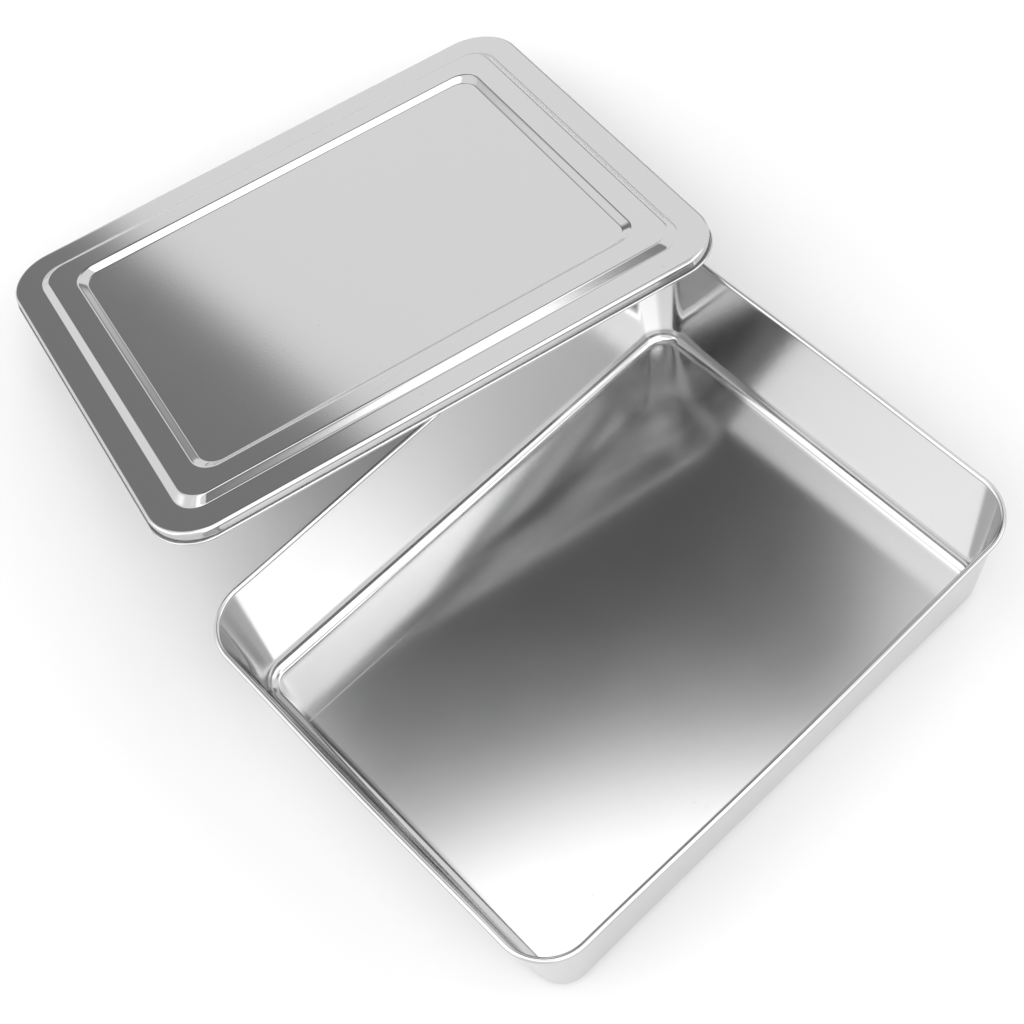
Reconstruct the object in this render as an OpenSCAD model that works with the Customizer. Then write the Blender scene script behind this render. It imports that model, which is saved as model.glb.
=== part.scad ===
// Instrument tray with a loose lid: a drawn stainless steel pan with a curled rim, and the
// stepped lid that covers it, lifted off and held tilted behind the pan.
// Millimetres, +Z up. The origin is the centre of the pan's underside, X along the long side.

/* [Sheet] */
// Thickness of the steel sheet of both pieces
sheet = 0.7; // [0.5:0.1:0.8]

/* [Pan] */
// Length over the curled rim
pan_length = 360; // [320:1:400]
// Width over the curled rim
pan_width = 283; // [260:1:310]
// Height from the underside to the top of the rim
pan_height = 87; // [80:1:100]
// Outer radius of the rim's corners
rim_corner = 30.5; // [28:0.5:36]
// Diameter of the curled rim
rim_diameter = 3.5; // [3:0.1:4.5]
// Turn of the sheet around the curled rim, in degrees
rim_wrap = 280; // [220:5:285]
// Outer radius of the bend between the floor and the walls
floor_bend = 7.5; // [4:0.5:9]
// Slope of the walls from upright, in degrees
wall_slope = 5.7; // [3:0.1:7]

/* [Lid] */
// How far the lid's outline stands outside the rim all round
lid_margin = 2.5; // [2:0.1:4]
// Outer radius of the lid's corners
lid_corner = 31; // [30:0.5:33]
// Height of the lid's edge, from the flange's top down to the lip
edge_height = 9; // [8:0.5:12]
// Outer radius of the bend between the flange and the skirt
edge_bend = 2; // [1.5:0.1:2.5]
// Inward lean of the skirt, in degrees
skirt_lean = 5; // [3:0.5:6]
// Diameter of the curled lip under the skirt
lip_diameter = 2.2; // [2:0.1:2.6]
// Turn of the sheet around the lip, in degrees
lip_wrap = 240; // [180:5:250]
// Width of the flange around the raised band
flange_width = 17.7; // [15:0.1:19]
// Width of the slope between the flange and the raised band
band_slope_width = 4.8; // [3:0.1:6]
// Corner radius at the foot of the slope up to the raised band
band_corner = 17; // [14:0.5:19]
// Height of the raised band above the flange
band_height = 3.3; // [2:0.1:5]
// Distance from the lid's outline to the top of the slope down into the middle panel
panel_inset = 37.3; // [36:0.1:40]
// Width of the slope down into the middle panel
panel_slope_width = 4.6; // [3:0.1:5.5]
// Depth of the middle panel below the raised band
panel_depth = 2.8; // [1:0.1:3]
// Corner radius at the top of the slope down into the middle panel
panel_corner = 15; // [12:0.5:17]

/* [Lid placement] */
// Position of the lid's centre along X
lid_x = 39; // [20:0.5:60]
// Distance of the lid's centre behind the pan's back rim
lid_behind = 122; // [110:0.5:140]
// Height of the lid's flange at its centre, above the rim
lid_above = -1.5; // [-3:0.5:30]
// Turn of the lid about X, in degrees
lid_pitch = -12.8; // [-15:0.1:-10]
// Turn of the lid about Y, in degrees
lid_roll = 2.5; // [0:0.1:5]
// Turn of the lid about Z, in degrees
lid_yaw = -11.7; // [-15:0.1:-5]

/* [Hidden] */
$fn = 96;
half_sheet = sheet / 2;
bend_step = 12;

// the pan's section is drawn outward from the centre line of a rim corner
rim_r = rim_diameter / 2;
rim_centre = [rim_corner - rim_r, pan_height - rim_r];
pan_span = [pan_length - 2 * rim_corner, pan_width - 2 * rim_corner];
wall_rise = (rim_centre[1] - floor_bend) * sin(wall_slope);
floor_centre = rim_centre[0] - (floor_bend + rim_r - sheet + wall_rise) / cos(wall_slope);
floor_bend_r = floor_bend - half_sheet;
floor_corner = [floor_centre + floor_bend_r * tan((90 - wall_slope) / 2), half_sheet];
rim_curl_r = rim_r - half_sheet;
wall_top = rim_centre + rim_curl_r * unit(180 - wall_slope);

// the lid's edge section is drawn outward from the centre line of a lid corner
lid_length = pan_length + 2 * lid_margin;
lid_width = pan_width + 2 * lid_margin;
lid_span = [lid_length - 2 * lid_corner, lid_width - 2 * lid_corner];
flange_line = -half_sheet;
edge_bend_r = edge_bend - half_sheet;
edge_corner = lid_corner - edge_bend + edge_bend_r * tan((90 + skirt_lean) / 2);
skirt_start = [lid_corner - edge_bend, -edge_bend] + edge_bend_r * unit(-skirt_lean);
lip_r = lip_diameter / 2;
lip_curl_r = lip_r - half_sheet;
lip_start = 180 - skirt_lean;
lip_height = lip_r - edge_height;
skirt_end_z = lip_height + lip_curl_r * sin(lip_start);
skirt_end_x = skirt_start[0] - (skirt_start[1] - skirt_end_z) * tan(skirt_lean);
skirt_end = [skirt_end_x, skirt_end_z];
lip_centre = skirt_end - lip_curl_r * unit(lip_start);

// each step of the lid is drawn outward from the centre line of its own corners, and ends
// in a strip of flat border
step_bend = 1.2;
step_border = 3;
band_centre_inset = flange_width + band_corner;
band_span = [lid_length - 2 * band_centre_inset, lid_width - 2 * band_centre_inset];
band_line = band_height - half_sheet;
band_edge = band_corner - band_slope_width;
band_reach = band_corner + step_border;
panel_centre_inset = panel_inset + panel_corner;
panel_span = [lid_length - 2 * panel_centre_inset, lid_width - 2 * panel_centre_inset];
panel_top = band_height - panel_depth;
panel_line = panel_top - half_sheet;
panel_foot = panel_corner - panel_slope_width;
panel_reach = panel_corner + step_border;

// the lid's centre
lid_at = [lid_x, pan_width / 2 + lid_behind, pan_height + lid_above];

function unit(a) = [cos(a), sin(a)];
function heading(p, q) = atan2(q[1] - p[1], q[0] - p[0]);
function turn_between(a, b) = (b - a + 540) % 360 - 180;
function offset_left(mark, by) = [mark[0], mark[1]] + by * unit(mark[2] + 90);

// marks along a bend of the sheet's middle line, each [x, y, heading]; a right turn is negative
function arc(centre, radius, start, turn) =
    let (steps = max(2, ceil(abs(turn) / bend_step)), way = sign(turn))
    [for (i = [0:steps])
        let (h = start + turn * i / steps, p = centre + radius * unit(h - way * 90))
        [p[0], p[1], h]];

// the bend at one corner of a row of points
function corner_arc(before, corner, after, radius) =
    let (
        into = heading(before, corner),
        turn = turn_between(into, heading(corner, after)),
        begin = corner - radius * tan(abs(turn) / 2) * unit(into))
    arc(begin + radius * unit(into + sign(turn) * 90), radius, into, turn);

// marks at the first point of a row and at every bend up to its last point
function bent_line(points, radii) =
    let (last = len(points) - 1, first = heading(points[0], points[1]))
    concat(
        [[points[0][0], points[0][1], first]],
        [for (i = [1:1:last - 1], mark = corner_arc(points[i - 1], points[i], points[i + 1], radii[i]))
            mark]);

// the sheet seen on edge, half its thickness to each side of its middle line
module sheet_section(marks) {
    left = [for (mark = marks) offset_left(mark, half_sheet)];
    right = [for (i = [len(marks) - 1:-1:0]) offset_left(marks[i], -half_sheet)];
    polygon(concat(left, right));
}

// carries a section around a rectangle with rounded corners; span runs between corner centres
module around(span) {
    for (half = [0, 180]) rotate(half) {
        translate([0, span[1] / 2, 0]) rotate([90, 0, 90])
            linear_extrude(span[0], center = true) children();
        translate([span[0] / 2, 0, 0]) rotate([90, 0, 0])
            linear_extrude(span[1], center = true) children();
        translate([span[0] / 2, span[1] / 2, 0]) rotate_extrude(angle = 90) children();
        translate([-span[0] / 2, span[1] / 2, 0]) rotate(90) rotate_extrude(angle = 90) children();
    }
}

// a flat plate between the corner centres, with its top at the given height
module middle_plate(span, top) {
    translate([-span[0] / 2, -span[1] / 2, top - sheet]) cube([span[0], span[1], sheet]);
}

// a level of pressed sheet: a flat middle with a section carried around it
module level(span, top) {
    around(span) children();
    middle_plate(span, top);
}

// what the next level takes out of the flat sheet around it
module inner_level_cut(span, radius, top) {
    translate([0, 0, top - 2 * sheet]) linear_extrude(3 * sheet) {
        square([span[0] + 2 * radius, span[1]], center = true);
        square([span[0], span[1] + 2 * radius], center = true);
        for (x = [-1, 1], y = [-1, 1]) translate([x * span[0] / 2, y * span[1] / 2])
            circle(radius);
    }
}

// floor, bend, sloping wall and curled rim
module pan_section() {
    sheet_section(concat(
        bent_line([[0, half_sheet], floor_corner, wall_top], [0, floor_bend_r, 0]),
        arc(rim_centre, rim_curl_r, 90 - wall_slope, -rim_wrap)));
}

// flange, skirt and curled lip
module lid_edge_section() {
    sheet_section(concat(
        bent_line([[0, flange_line], [edge_corner, flange_line], skirt_end], [0, edge_bend_r, 0]),
        arc(lip_centre, lip_curl_r, -90 - skirt_lean, lip_wrap)));
}

// a slope between two heights of the sheet's middle line, and the flat sheet to each side of it
module step_section(inner_x, inner_line, outer_x, outer_line, reach) {
    sheet_section(concat(
        bent_line(
            [[0, inner_line], [inner_x, inner_line], [outer_x, outer_line], [reach, outer_line]],
            [0, step_bend, step_bend, 0]),
        [[reach, outer_line, 0]]));
}

// the lid with its flange's top at height 0 and its centre on the Z axis
module level_lid() {
    difference() {
        level(lid_span, 0) lid_edge_section();
        inner_level_cut(band_span, band_reach, 0);
    }
    difference() {
        level(band_span, band_height)
            step_section(band_edge, band_line, band_corner, flange_line, band_reach);
        inner_level_cut(panel_span, panel_reach, band_height);
    }
    level(panel_span, panel_top)
        step_section(panel_foot, panel_line, panel_corner, band_line, panel_reach);
}

// the drawn pan
module pan() {
    color([0.74, 0.75, 0.76]) level(pan_span, sheet) pan_section();
}

// the loose lid, lifted off behind the pan
module lid() {
    color([0.62, 0.63, 0.64])
        translate(lid_at) rotate([lid_pitch, lid_roll, lid_yaw]) level_lid();
}

pan();
lid();
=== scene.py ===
"""Looks for the instrument tray: swept sheet-metal meshes, satin steel, soft studio."""
import math

import bmesh
import bpy
from mathutils import Matrix, Vector


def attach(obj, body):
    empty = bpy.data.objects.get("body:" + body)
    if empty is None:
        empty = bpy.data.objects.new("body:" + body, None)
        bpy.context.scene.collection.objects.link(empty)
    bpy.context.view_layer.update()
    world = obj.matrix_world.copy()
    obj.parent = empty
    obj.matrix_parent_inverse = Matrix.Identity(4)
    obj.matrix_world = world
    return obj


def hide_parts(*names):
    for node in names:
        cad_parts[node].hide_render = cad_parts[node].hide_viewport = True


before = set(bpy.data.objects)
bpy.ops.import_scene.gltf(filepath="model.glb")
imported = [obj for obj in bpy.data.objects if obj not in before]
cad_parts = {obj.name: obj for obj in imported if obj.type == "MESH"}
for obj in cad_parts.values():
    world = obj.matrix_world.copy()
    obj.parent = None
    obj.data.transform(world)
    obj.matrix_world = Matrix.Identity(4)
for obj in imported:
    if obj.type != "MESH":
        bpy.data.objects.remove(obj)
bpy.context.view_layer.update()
MM = 0.001

# ---------------------------------------------------------------- camera
CAMERA_AT = Vector((-258.32, -377.958, 999.072)) * MM
CAMERA_RIGHT = Vector((0.7254418, -0.6760276, -0.1293092))
CAMERA_DOWN = Vector((-0.6460886, -0.6040748, -0.4665439))
CAMERA_FORWARD = Vector((0.2372841, 0.4219957, -0.8749948))
SENSOR_MM = 36.0
LENS_MM = 66.24
CLIP_NEAR, CLIP_FAR = 0.01, 50.0


def make_camera():
    data = bpy.data.cameras.new("camera")
    data.sensor_width = SENSOR_MM
    data.lens = LENS_MM
    data.clip_start = CLIP_NEAR
    data.clip_end = CLIP_FAR
    camera = bpy.data.objects.new("camera", data)
    axes = Matrix((CAMERA_RIGHT, -CAMERA_DOWN, -CAMERA_FORWARD)).transposed()
    camera.matrix_world = Matrix.Translation(CAMERA_AT) @ axes.to_4x4()
    bpy.context.collection.objects.link(camera)
    bpy.context.scene.camera = camera


make_camera()

# ---------------------------------------------------------------- sizes, in millimetres
SHEET = 0.7
HALF = SHEET / 2
PAN_LENGTH, PAN_WIDTH, PAN_HEIGHT = 360.0, 283.0, 87.0
RIM_CORNER = 30.5
RIM_R = 1.75
RIM_WRAP = 280.0
FLOOR_BEND = 7.5
WALL_SLOPE = 5.7
LID_LENGTH, LID_WIDTH = 365.0, 288.0
LID_CORNER = 31.0
EDGE_HEIGHT = 9.0
EDGE_BEND = 2.0
SKIRT_LEAN = 5.0
LIP_R = 1.1
LIP_WRAP = 240.0
FLANGE_WIDTH = 17.7
BAND_SLOPE = 4.8
BAND_HEIGHT = 3.3
PANEL_INSET = 37.3
PANEL_SLOPE = 4.6
PANEL_DEPTH = 2.8
STEP_BEND = 1.8
LID_AT = Vector((39.0, 263.5, 85.5))
LID_TURNS = (-12.8, 2.5, -11.7)


# ---------------------------------------------------------------- section drawing
def unit(angle):
    return Vector((math.cos(math.radians(angle)), math.sin(math.radians(angle))))


def heading(p, q):
    return math.degrees(math.atan2(q[1] - p[1], q[0] - p[0]))


def turn_between(a, b):
    return (b - a + 540.0) % 360.0 - 180.0


def arc(centre, radius, start, turn, step=6.0):
    """Marks (x, y, heading) along a bend of the middle line; a right turn is negative."""
    steps = max(3, math.ceil(abs(turn) / step))
    way = 1.0 if turn > 0 else -1.0
    marks = []
    for i in range(steps + 1):
        h = start + turn * i / steps
        p = centre + radius * unit(h - way * 90.0)
        marks.append((p.x, p.y, h))
    return marks


def bent_line(points, radii, pad=1.2):
    """Marks at the first point, at every bend, and close beside each bend on the flats."""
    points = [Vector(p) for p in points]
    marks = [(points[0].x, points[0].y, heading(points[0], points[1]))]
    for i in range(1, len(points) - 1):
        into = heading(points[i - 1], points[i])
        turn = turn_between(into, heading(points[i], points[i + 1]))
        setback = radii[i] * math.tan(math.radians(abs(turn)) / 2)
        begin = points[i] - setback * unit(into)
        way = 1.0 if turn > 0 else -1.0
        bend = arc(begin + radii[i] * unit(into + way * 90.0), radii[i], into, turn)
        first, last = bend[0], bend[-1]
        before = Vector(first[:2]) - pad * unit(first[2])
        after = Vector(last[:2]) + pad * unit(last[2])
        marks += [(before.x, before.y, first[2]), *bend, (after.x, after.y, last[2])]
    return marks


# ---------------------------------------------------------------- outlines and meshes
# metres: corners closer than this become one, and shorter edges are dropped
MERGE_WITHIN = 2e-6
SHORTEST_EDGE = 1e-7


def outline(half_x, half_y, radius, bow_x, bow_y, corner_steps=20, side_steps=28):
    """A closed rounded rectangle, anticlockwise.

    bow_x swells the X sides and bow_y the Y sides, most at their middles."""
    points = []
    cx, cy = half_x - radius, half_y - radius

    def side(p, q, normal, bow):
        for i in range(side_steps):
            t = i / side_steps
            swell = bow * (1 - (2 * t - 1) ** 2) ** 2
            points.append((p[0] + (q[0] - p[0]) * t + normal[0] * swell,
                           p[1] + (q[1] - p[1]) * t + normal[1] * swell))

    def corner(x, y, start):
        for i in range(corner_steps):
            a = math.radians(start + 90.0 * i / corner_steps)
            points.append((x + radius * math.cos(a), y + radius * math.sin(a)))

    side((half_x, -cy), (half_x, cy), (1, 0), bow_x)
    corner(cx, cy, 0)
    side((cx, half_y), (-cx, half_y), (0, 1), bow_y)
    corner(-cx, cy, 90)
    side((-half_x, cy), (-half_x, -cy), (-1, 0), bow_x)
    corner(-cx, -cy, 180)
    side((-cx, -half_y), (cx, -half_y), (0, -1), bow_y)
    corner(cx, -cy, 270)
    return points


def add_floor(verts, faces, ring, spread, rings=10):
    """Closes a ring with quads that shrink onto the line between its two ends."""
    count = len(ring)
    base = [Vector(verts[i]) for i in ring]
    ridge = [Vector((max(-spread, min(spread, p.x)), 0.0, p.z)) for p in base]
    previous = list(ring)
    for k in range(1, rings + 1):
        t = k / rings
        current = []
        for p, r in zip(base, ridge):
            verts.append(tuple(p.lerp(r, t)))
            current.append(len(verts) - 1)
        for i in range(count):
            j = (i + 1) % count
            faces.append((previous[i], previous[j], current[j], current[i]))
        previous = current


def make_object(name, verts, faces, transform=None):
    mesh = bpy.data.meshes.new(name)
    mesh.from_pydata([tuple(Vector(v) * MM) for v in verts], [], faces)
    if transform is not None:
        mesh.transform(transform)
    bm = bmesh.new()
    bm.from_mesh(mesh)
    bmesh.ops.remove_doubles(bm, verts=bm.verts, dist=MERGE_WITHIN)
    bmesh.ops.dissolve_degenerate(bm, edges=bm.edges, dist=SHORTEST_EDGE)
    bmesh.ops.recalc_face_normals(bm, faces=bm.faces)
    bm.to_mesh(mesh)
    bm.free()
    mesh.polygons.foreach_set("use_smooth", [True] * len(mesh.polygons))
    obj = bpy.data.objects.new(name, mesh)
    bpy.context.collection.objects.link(obj)
    return obj


def sweep(marks, length, width, corner_of, bow_of):
    """Both faces of the sheet carried around the outline and joined at the sheet's end.

    marks are (inset, z, heading) along the middle line, the inset being the distance in
    from a length by width outline."""
    verts, faces, rings = [], [], []
    left = [Vector((x, z)) + HALF * unit(h + 90) for x, z, h in marks]
    right = [Vector((x, z)) - HALF * unit(h + 90) for x, z, h in marks]
    for inset, z in left + right[::-1]:
        bow_x, bow_y = bow_of(z)
        ring = []
        for px, py in outline(length / 2 - inset, width / 2 - inset, corner_of(inset, z),
                              bow_x, bow_y):
            ring.append(len(verts))
            verts.append((px, py, z))
        rings.append(ring)
    for inner, outer in zip(rings, rings[1:]):
        for i in range(len(inner)):
            j = (i + 1) % len(inner)
            faces.append((inner[i], inner[j], outer[j], outer[i]))
    spread = (length - width) / 2
    add_floor(verts, faces, rings[0], spread)
    add_floor(verts, faces, rings[-1], spread)
    return verts, faces


def from_outside(marks, outer_x):
    """Turns section marks drawn outward into marks by inset from the outline at outer_x."""
    return [(outer_x - x, y, 180.0 - h) for x, y, h in marks]


def blend_by(value, stops):
    """A value read off straight lines between (position, result) stops."""
    if value <= stops[0][0]:
        return stops[0][1]
    for (p, a), (q, b) in zip(stops, stops[1:]):
        if value <= q:
            return a + (b - a) * (value - p) / (q - p)
    return stops[-1][1]


# ---------------------------------------------------------------- the pan
# the corners are this much tighter at the base than sloping walls alone would make them
BASE_TIGHTER = 2.5
TIGHTEST_CORNER = 2.0
# the walls bow outward above this height, by up to the side bows at the rim
BOW_FROM = 10.0
BOW_POWER = 1.5
SIDE_BOW_X = 0.9
SIDE_BOW_Y = 1.4
# the pan's section starts this far out from the centre line of a rim corner
FLOOR_FROM = 6.0
FLOOR_BEND_PAD = 2.0
RIM_STEP = 10.0


def make_pan():
    rim_centre = Vector((RIM_CORNER - RIM_R, PAN_HEIGHT - RIM_R))
    rise = (rim_centre.y - FLOOR_BEND) * math.sin(math.radians(WALL_SLOPE))
    floor_centre = (rim_centre.x - (FLOOR_BEND + RIM_R - SHEET + rise)
                    / math.cos(math.radians(WALL_SLOPE)))
    bend_r = FLOOR_BEND - HALF
    foot = Vector((floor_centre + bend_r * math.tan(math.radians(90 - WALL_SLOPE) / 2), HALF))
    wall_top = rim_centre + (RIM_R - HALF) * unit(180 - WALL_SLOPE)
    marks = bent_line([(FLOOR_FROM, HALF), foot, wall_top], [0, bend_r, 0],
                      pad=FLOOR_BEND_PAD)
    upward = heading(foot, wall_top)
    below_rim = wall_top - unit(upward)
    marks.append((below_rim.x, below_rim.y, upward))
    marks += arc(rim_centre, RIM_R - HALF, 90 - WALL_SLOPE, -RIM_WRAP, step=RIM_STEP)

    def corner_of(inset, z):
        up = min(1.0, max(0.0, z / rim_centre.y))
        return max(TIGHTEST_CORNER, RIM_CORNER - inset - BASE_TIGHTER * (1 - up))

    def bow_of(z):
        up = min(1.0, max(0.0, (z - BOW_FROM) / (rim_centre.y - BOW_FROM))) ** BOW_POWER
        return SIDE_BOW_X * up, SIDE_BOW_Y * up

    marks = from_outside(marks, RIM_CORNER)
    return make_object("pan_sheet", *sweep(marks, PAN_LENGTH, PAN_WIDTH, corner_of, bow_of))


# ---------------------------------------------------------------- the lid
# the lid's section reaches this far into the middle panel
PANEL_BORDER = 4.0
PANEL_END = PANEL_INSET + PANEL_SLOPE + PANEL_BORDER
# so far in from the edge, the outline's corners stay concentric with it
EVEN_EDGE = 8.0
STEP_PAD = 0.9
LIP_STEP = 15.0
# (distance in from the lid's edge, corner radius of the outline there)
LID_CORNERS = [
    (0.0, LID_CORNER),
    (EVEN_EDGE, LID_CORNER - EVEN_EDGE),
    (FLANGE_WIDTH, 15.5),
    (FLANGE_WIDTH + BAND_SLOPE, 14.0),
    (PANEL_INSET, 13.5),
    (PANEL_INSET + PANEL_SLOPE, 12.0),
    (PANEL_END, 9.0),
]


def make_lid():
    band_line = BAND_HEIGHT - HALF
    panel_line = band_line - PANEL_DEPTH
    edge_r = EDGE_BEND - HALF
    lean = math.radians(SKIRT_LEAN)
    edge_x = -EDGE_BEND + edge_r * math.tan((math.radians(90) + lean) / 2)
    skirt_start = Vector((-EDGE_BEND, -EDGE_BEND)) + edge_r * unit(-SKIRT_LEAN)
    lip_curl = LIP_R - HALF
    lip_start = 180 - SKIRT_LEAN
    skirt_end_z = LIP_R - EDGE_HEIGHT + lip_curl * math.sin(math.radians(lip_start))
    skirt_end = Vector((skirt_start.x - (skirt_start.y - skirt_end_z) * math.tan(lean),
                        skirt_end_z))
    # drawn with x measured outward, 0 at the outline
    marks = bent_line(
        [(-PANEL_END, panel_line),
         (-PANEL_INSET - PANEL_SLOPE, panel_line), (-PANEL_INSET, band_line),
         (-FLANGE_WIDTH - BAND_SLOPE, band_line), (-FLANGE_WIDTH, -HALF),
         (edge_x, -HALF), skirt_end],
        [0, STEP_BEND, STEP_BEND, STEP_BEND, STEP_BEND, edge_r, 0], pad=STEP_PAD)
    marks += arc(skirt_end - lip_curl * unit(lip_start), lip_curl, -90 - SKIRT_LEAN,
                 LIP_WRAP, step=LIP_STEP)

    def corner_of(inset, _):
        return blend_by(inset, LID_CORNERS)

    def bow_of(_):
        return 0.0, 0.0

    turns = [math.radians(a) for a in LID_TURNS]
    place = (Matrix.Translation(LID_AT * MM) @ Matrix.Rotation(turns[2], 4, "Z")
             @ Matrix.Rotation(turns[1], 4, "Y") @ Matrix.Rotation(turns[0], 4, "X"))
    marks = from_outside(marks, 0.0)
    return make_object("lid_sheet", *sweep(marks, LID_LENGTH, LID_WIDTH, corner_of, bow_of),
                       place)


# ---------------------------------------------------------------- nodes
class Nodes:
    """Short hands for adding nodes to one node tree."""

    def __init__(self, tree):
        self.tree = tree

    def put(self, socket, value):
        if isinstance(value, (int, float)):
            socket.default_value = value
        else:
            self.tree.links.new(value, socket)

    def math(self, kind, a, b=0.0, c=0.0):
        node = self.tree.nodes.new("ShaderNodeMath")
        node.operation = kind
        for socket, value in zip(node.inputs, (a, b, c)):
            self.put(socket, value)
        return node.outputs[0]

    def step(self, value, low, high, to_low=0.0, to_high=1.0):
        node = self.tree.nodes.new("ShaderNodeMapRange")
        node.interpolation_type = "SMOOTHSTEP"
        for name, v in (("Value", value), ("From Min", low), ("From Max", high),
                        ("To Min", to_low), ("To Max", to_high)):
            self.put(node.inputs[name], v)
        return node.outputs["Result"]

    def noise(self, vector, scale, detail):
        node = self.tree.nodes.new("ShaderNodeTexNoise")
        self.put(node.inputs["Vector"], vector)
        self.put(node.inputs["Scale"], scale)
        self.put(node.inputs["Detail"], detail)
        return node.outputs["Fac"]

    def blend(self, share, a, b):
        """a where share is 0, b where it is 1."""
        return self.math("ADD", self.math("MULTIPLY", a, self.math("SUBTRACT", 1.0, share)),
                         self.math("MULTIPLY", b, share))


# ---------------------------------------------------------------- steel
# noise scales are in cells per metre; shades and roughnesses are shares of 1
GRAIN_SCALE, GRAIN_DETAIL = 900.0, 4.0
CLOUD_SCALE, CLOUD_DETAIL = 9.0, 3.0
SPECK_SCALE, SPECK_DETAIL = 420.0, 1.0
SPECK_FROM, SPECK_TO = 0.77, 0.82
SCRATCH_TURN = 0.55
SCRATCH_STRETCH = (3.0, 260.0, 3.0)
SCRATCH_DETAIL = 2.0
SCRATCH_FROM, SCRATCH_TO = 0.73, 0.78
GRAIN_SHADE = 0.03
SPECK_SHADE = 0.12
SCRATCH_SHADE = 0.06
CLOUD_ROUGHNESS = 0.04
SPECK_ROUGHNESS = 0.12
SCRATCH_ROUGHNESS = 0.08
BUMP_STRENGTH = 0.008
BUMP_DISTANCE = 0.0005
# the topmost edge is a little smoother, down to RIM_DEPTH metres below it
RIM_POLISH = 0.03
RIM_DEPTH = 0.004
PAN_TINT = (0.55, 0.55, 0.552)
LID_TINT = (0.55, 0.55, 0.55)
PAN_ROUGHNESS = 0.14
LID_ROUGHNESS = 0.085
# metres above the ground, just over the lid's highest corner at rest
LID_TOP = 0.125


def steel(name, tint, roughness, top):
    """Satin pressed steel: fine grain, cloudy gloss, a few specks and hairline scratches.

    The sheet is a little more polished within RIM_DEPTH of the height top, where hands
    and cloths rub it."""
    mat = bpy.data.materials.new(name)
    mat.use_nodes = True
    tree = mat.node_tree
    n = Nodes(tree)
    bsdf = tree.nodes["Principled BSDF"]
    bsdf.inputs["Metallic"].default_value = 1.0
    place = tree.nodes.new("ShaderNodeTexCoord").outputs["Object"]
    grain = n.noise(place, GRAIN_SCALE, GRAIN_DETAIL)
    cloud = n.noise(place, CLOUD_SCALE, CLOUD_DETAIL)
    speck = n.step(n.noise(place, SPECK_SCALE, SPECK_DETAIL), SPECK_FROM, SPECK_TO)
    stretch = tree.nodes.new("ShaderNodeMapping")
    stretch.inputs["Rotation"].default_value = (0.0, 0.0, SCRATCH_TURN)
    stretch.inputs["Scale"].default_value = SCRATCH_STRETCH
    tree.links.new(place, stretch.inputs["Vector"])
    lines = n.noise(stretch.outputs["Vector"], 1.0, SCRATCH_DETAIL)
    scratch = n.step(lines, SCRATCH_FROM, SCRATCH_TO)
    split = tree.nodes.new("ShaderNodeSeparateXYZ")
    tree.links.new(place, split.inputs[0])
    rubbed = n.step(split.outputs["Z"], top - RIM_DEPTH, top)

    shade = n.math("MULTIPLY_ADD", grain, GRAIN_SHADE, 1.0 - GRAIN_SHADE / 2)
    for mark, depth in ((speck, SPECK_SHADE), (scratch, SCRATCH_SHADE)):
        shade = n.math("MULTIPLY", shade, n.math("MULTIPLY_ADD", mark, -depth, 1.0))
    colour = tree.nodes.new("ShaderNodeCombineColor")
    for channel, level in zip(colour.inputs, tint):
        n.put(channel, n.math("MULTIPLY", shade, level))
    tree.links.new(colour.outputs["Color"], bsdf.inputs["Base Color"])

    rough = n.math("MULTIPLY_ADD", cloud, CLOUD_ROUGHNESS, roughness - CLOUD_ROUGHNESS / 2)
    for mark, change in ((speck, SPECK_ROUGHNESS), (scratch, SCRATCH_ROUGHNESS),
                         (rubbed, -RIM_POLISH)):
        rough = n.math("MULTIPLY_ADD", mark, change, rough)
    n.put(bsdf.inputs["Roughness"], rough)

    bump = tree.nodes.new("ShaderNodeBump")
    bump.inputs["Strength"].default_value = BUMP_STRENGTH
    bump.inputs["Distance"].default_value = BUMP_DISTANCE
    n.put(bump.inputs["Height"], n.math("SUBTRACT", grain, n.math("ADD", speck, scratch)))
    tree.links.new(bump.outputs["Normal"], bsdf.inputs["Normal"])
    return mat


pan = make_pan()
lid = make_lid()
pan.data.materials.append(steel("pan_steel_look", PAN_TINT, PAN_ROUGHNESS, PAN_HEIGHT * MM))
lid.data.materials.append(steel("lid_steel_look", LID_TINT, LID_ROUGHNESS, LID_TOP))
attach(pan, "pan")
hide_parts("pan")
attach(lid, "lid")
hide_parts("lid")


# ---------------------------------------------------------------- studio
FLOOR_HALF = 4.0
FLOOR_WHITE = 0.68
FLOOR_ROUGHNESS = 0.9


def make_floor():
    mesh = bpy.data.meshes.new("studio_floor")
    r = FLOOR_HALF
    mesh.from_pydata([(-r, -r, 0), (r, -r, 0), (r, r, 0), (-r, r, 0)], [], [(0, 1, 2, 3)])
    floor = bpy.data.objects.new("studio_floor", mesh)
    bpy.context.collection.objects.link(floor)
    mat = bpy.data.materials.new("studio_floor_look")
    mat.use_nodes = True
    paper = mat.node_tree.nodes["Principled BSDF"].inputs
    paper["Base Color"].default_value = (FLOOR_WHITE, FLOOR_WHITE, FLOOR_WHITE, 1)
    paper["Roughness"].default_value = FLOOR_ROUGHNESS
    paper["Specular IOR Level"].default_value = 0.0
    floor.data.materials.append(mat)


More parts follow.
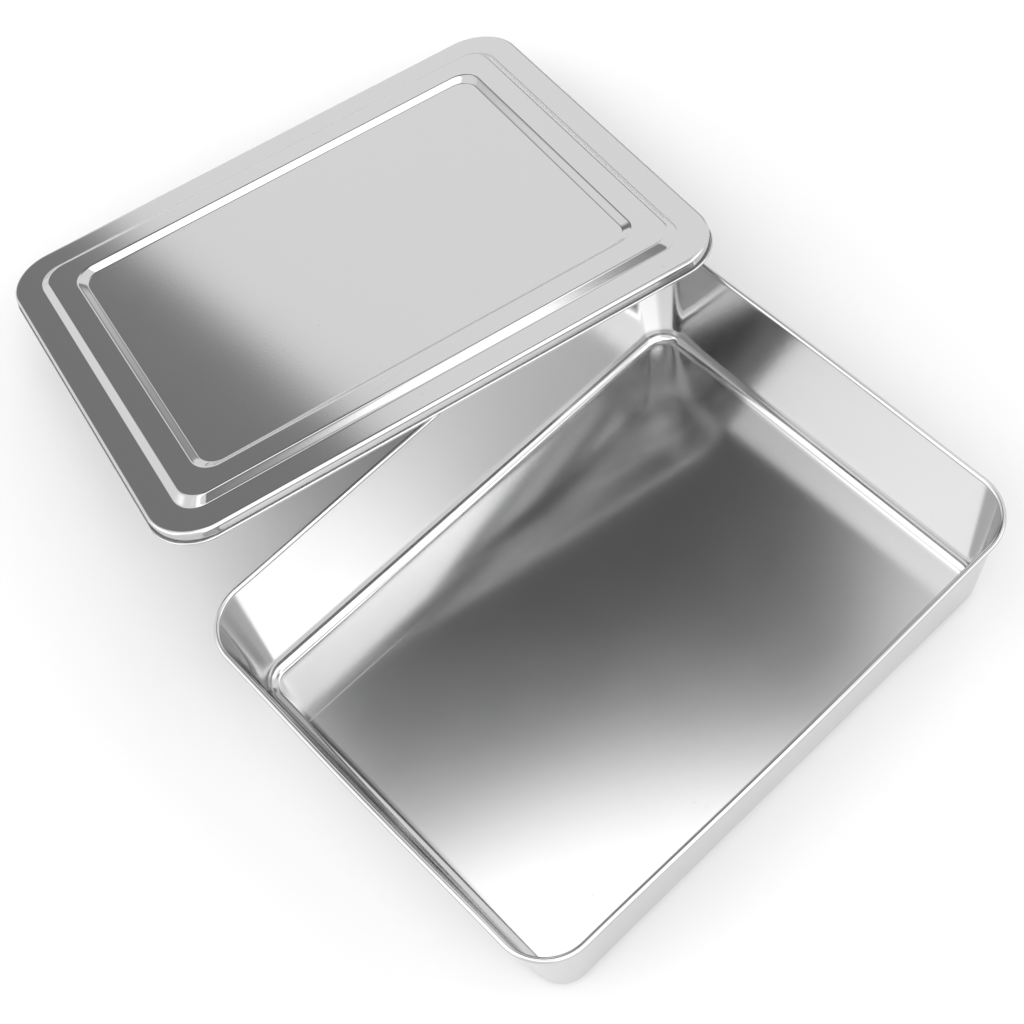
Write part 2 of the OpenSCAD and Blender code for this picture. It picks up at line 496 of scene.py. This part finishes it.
# The studio is a pale room with soft-edged windows and dark screens. Each is
# (azimuth of its middle, half width, height of its middle, half height, edge softness,
# slant, level), angles in degrees, azimuth turning from +Y towards +X. The slant is how far
# the screen leans in azimuth for each degree up. A later one lies over an earlier one.
ROOM_LEVEL = 1.17
SCREENS = [
    (170.0, 48.0, 18.0, 24.0, 8.0, 0.0, 2.1),
    (-66.0, 30.0, 18.0, 22.0, 8.0, 0.0, 2.1),
    (195.0, 33.0, 53.0, 9.0, 4.0, 0.0, 3.9),
    (262.0, 44.0, 53.0, 9.0, 4.0, 0.0, 2.7),
    (176.5, 44.0, 69.5, 6.0, 3.0, 0.0, 3.3),
    (120.0, 12.5, 62.5, 8.5, 2.0, 0.0, 0.36),
    (30.0, 100.0, 80.5, 10.5, 2.0, 0.0, 2.3),
    (155.0, 45.0, 82.5, 7.0, 2.5, 0.0, 0.30),
    (-4.0, 8.0, 5.0, 35.0, 1.5, 0.0, 0.72),
    (9.5, 11.0, 28.0, 18.0, 1.0, 0.6, 0.30),
    (50.0, 12.0, 11.0, 9.0, 2.0, 0.0, 0.42),
    (32.0, 21.0, 56.0, 13.0, 2.0, 0.0, 0.09),
]


def make_world():
    world = bpy.data.worlds.new("studio")
    bpy.context.scene.world = world
    world.use_nodes = True
    tree = world.node_tree
    n = Nodes(tree)
    coord = tree.nodes.new("ShaderNodeTexCoord")
    split = tree.nodes.new("ShaderNodeSeparateXYZ")
    tree.links.new(coord.outputs["Generated"], split.inputs[0])
    azimuth = n.math("DEGREES", n.math("ARCTAN2", split.outputs["X"], split.outputs["Y"]))
    height = n.math("DEGREES", n.math("ARCSINE", split.outputs["Z"]))
    level = ROOM_LEVEL
    for middle, wide, up, tall, soft, slant, value in SCREENS:
        rise = n.math("SUBTRACT", height, up)
        inside = n.step(n.math("ABSOLUTE", rise), tall - soft, tall + soft, 1.0, 0.0)
        lean = n.math("MULTIPLY_ADD", rise, slant, middle)
        across = n.math("ABSOLUTE", n.math("WRAP", n.math("SUBTRACT", azimuth, lean),
                                           180.0, -180.0))
        beside = n.step(across, wide - soft, wide + soft, 1.0, 0.0)
        level = n.blend(n.math("MULTIPLY", inside, beside), level, value)
    tree.links.new(level, tree.nodes["Background"].inputs["Strength"])
    tree.nodes["Background"].inputs["Color"].default_value = (1.0, 1.0, 1.0, 1.0)


make_floor()
make_world()
bpy.context.scene.view_settings.view_transform = "Standard"
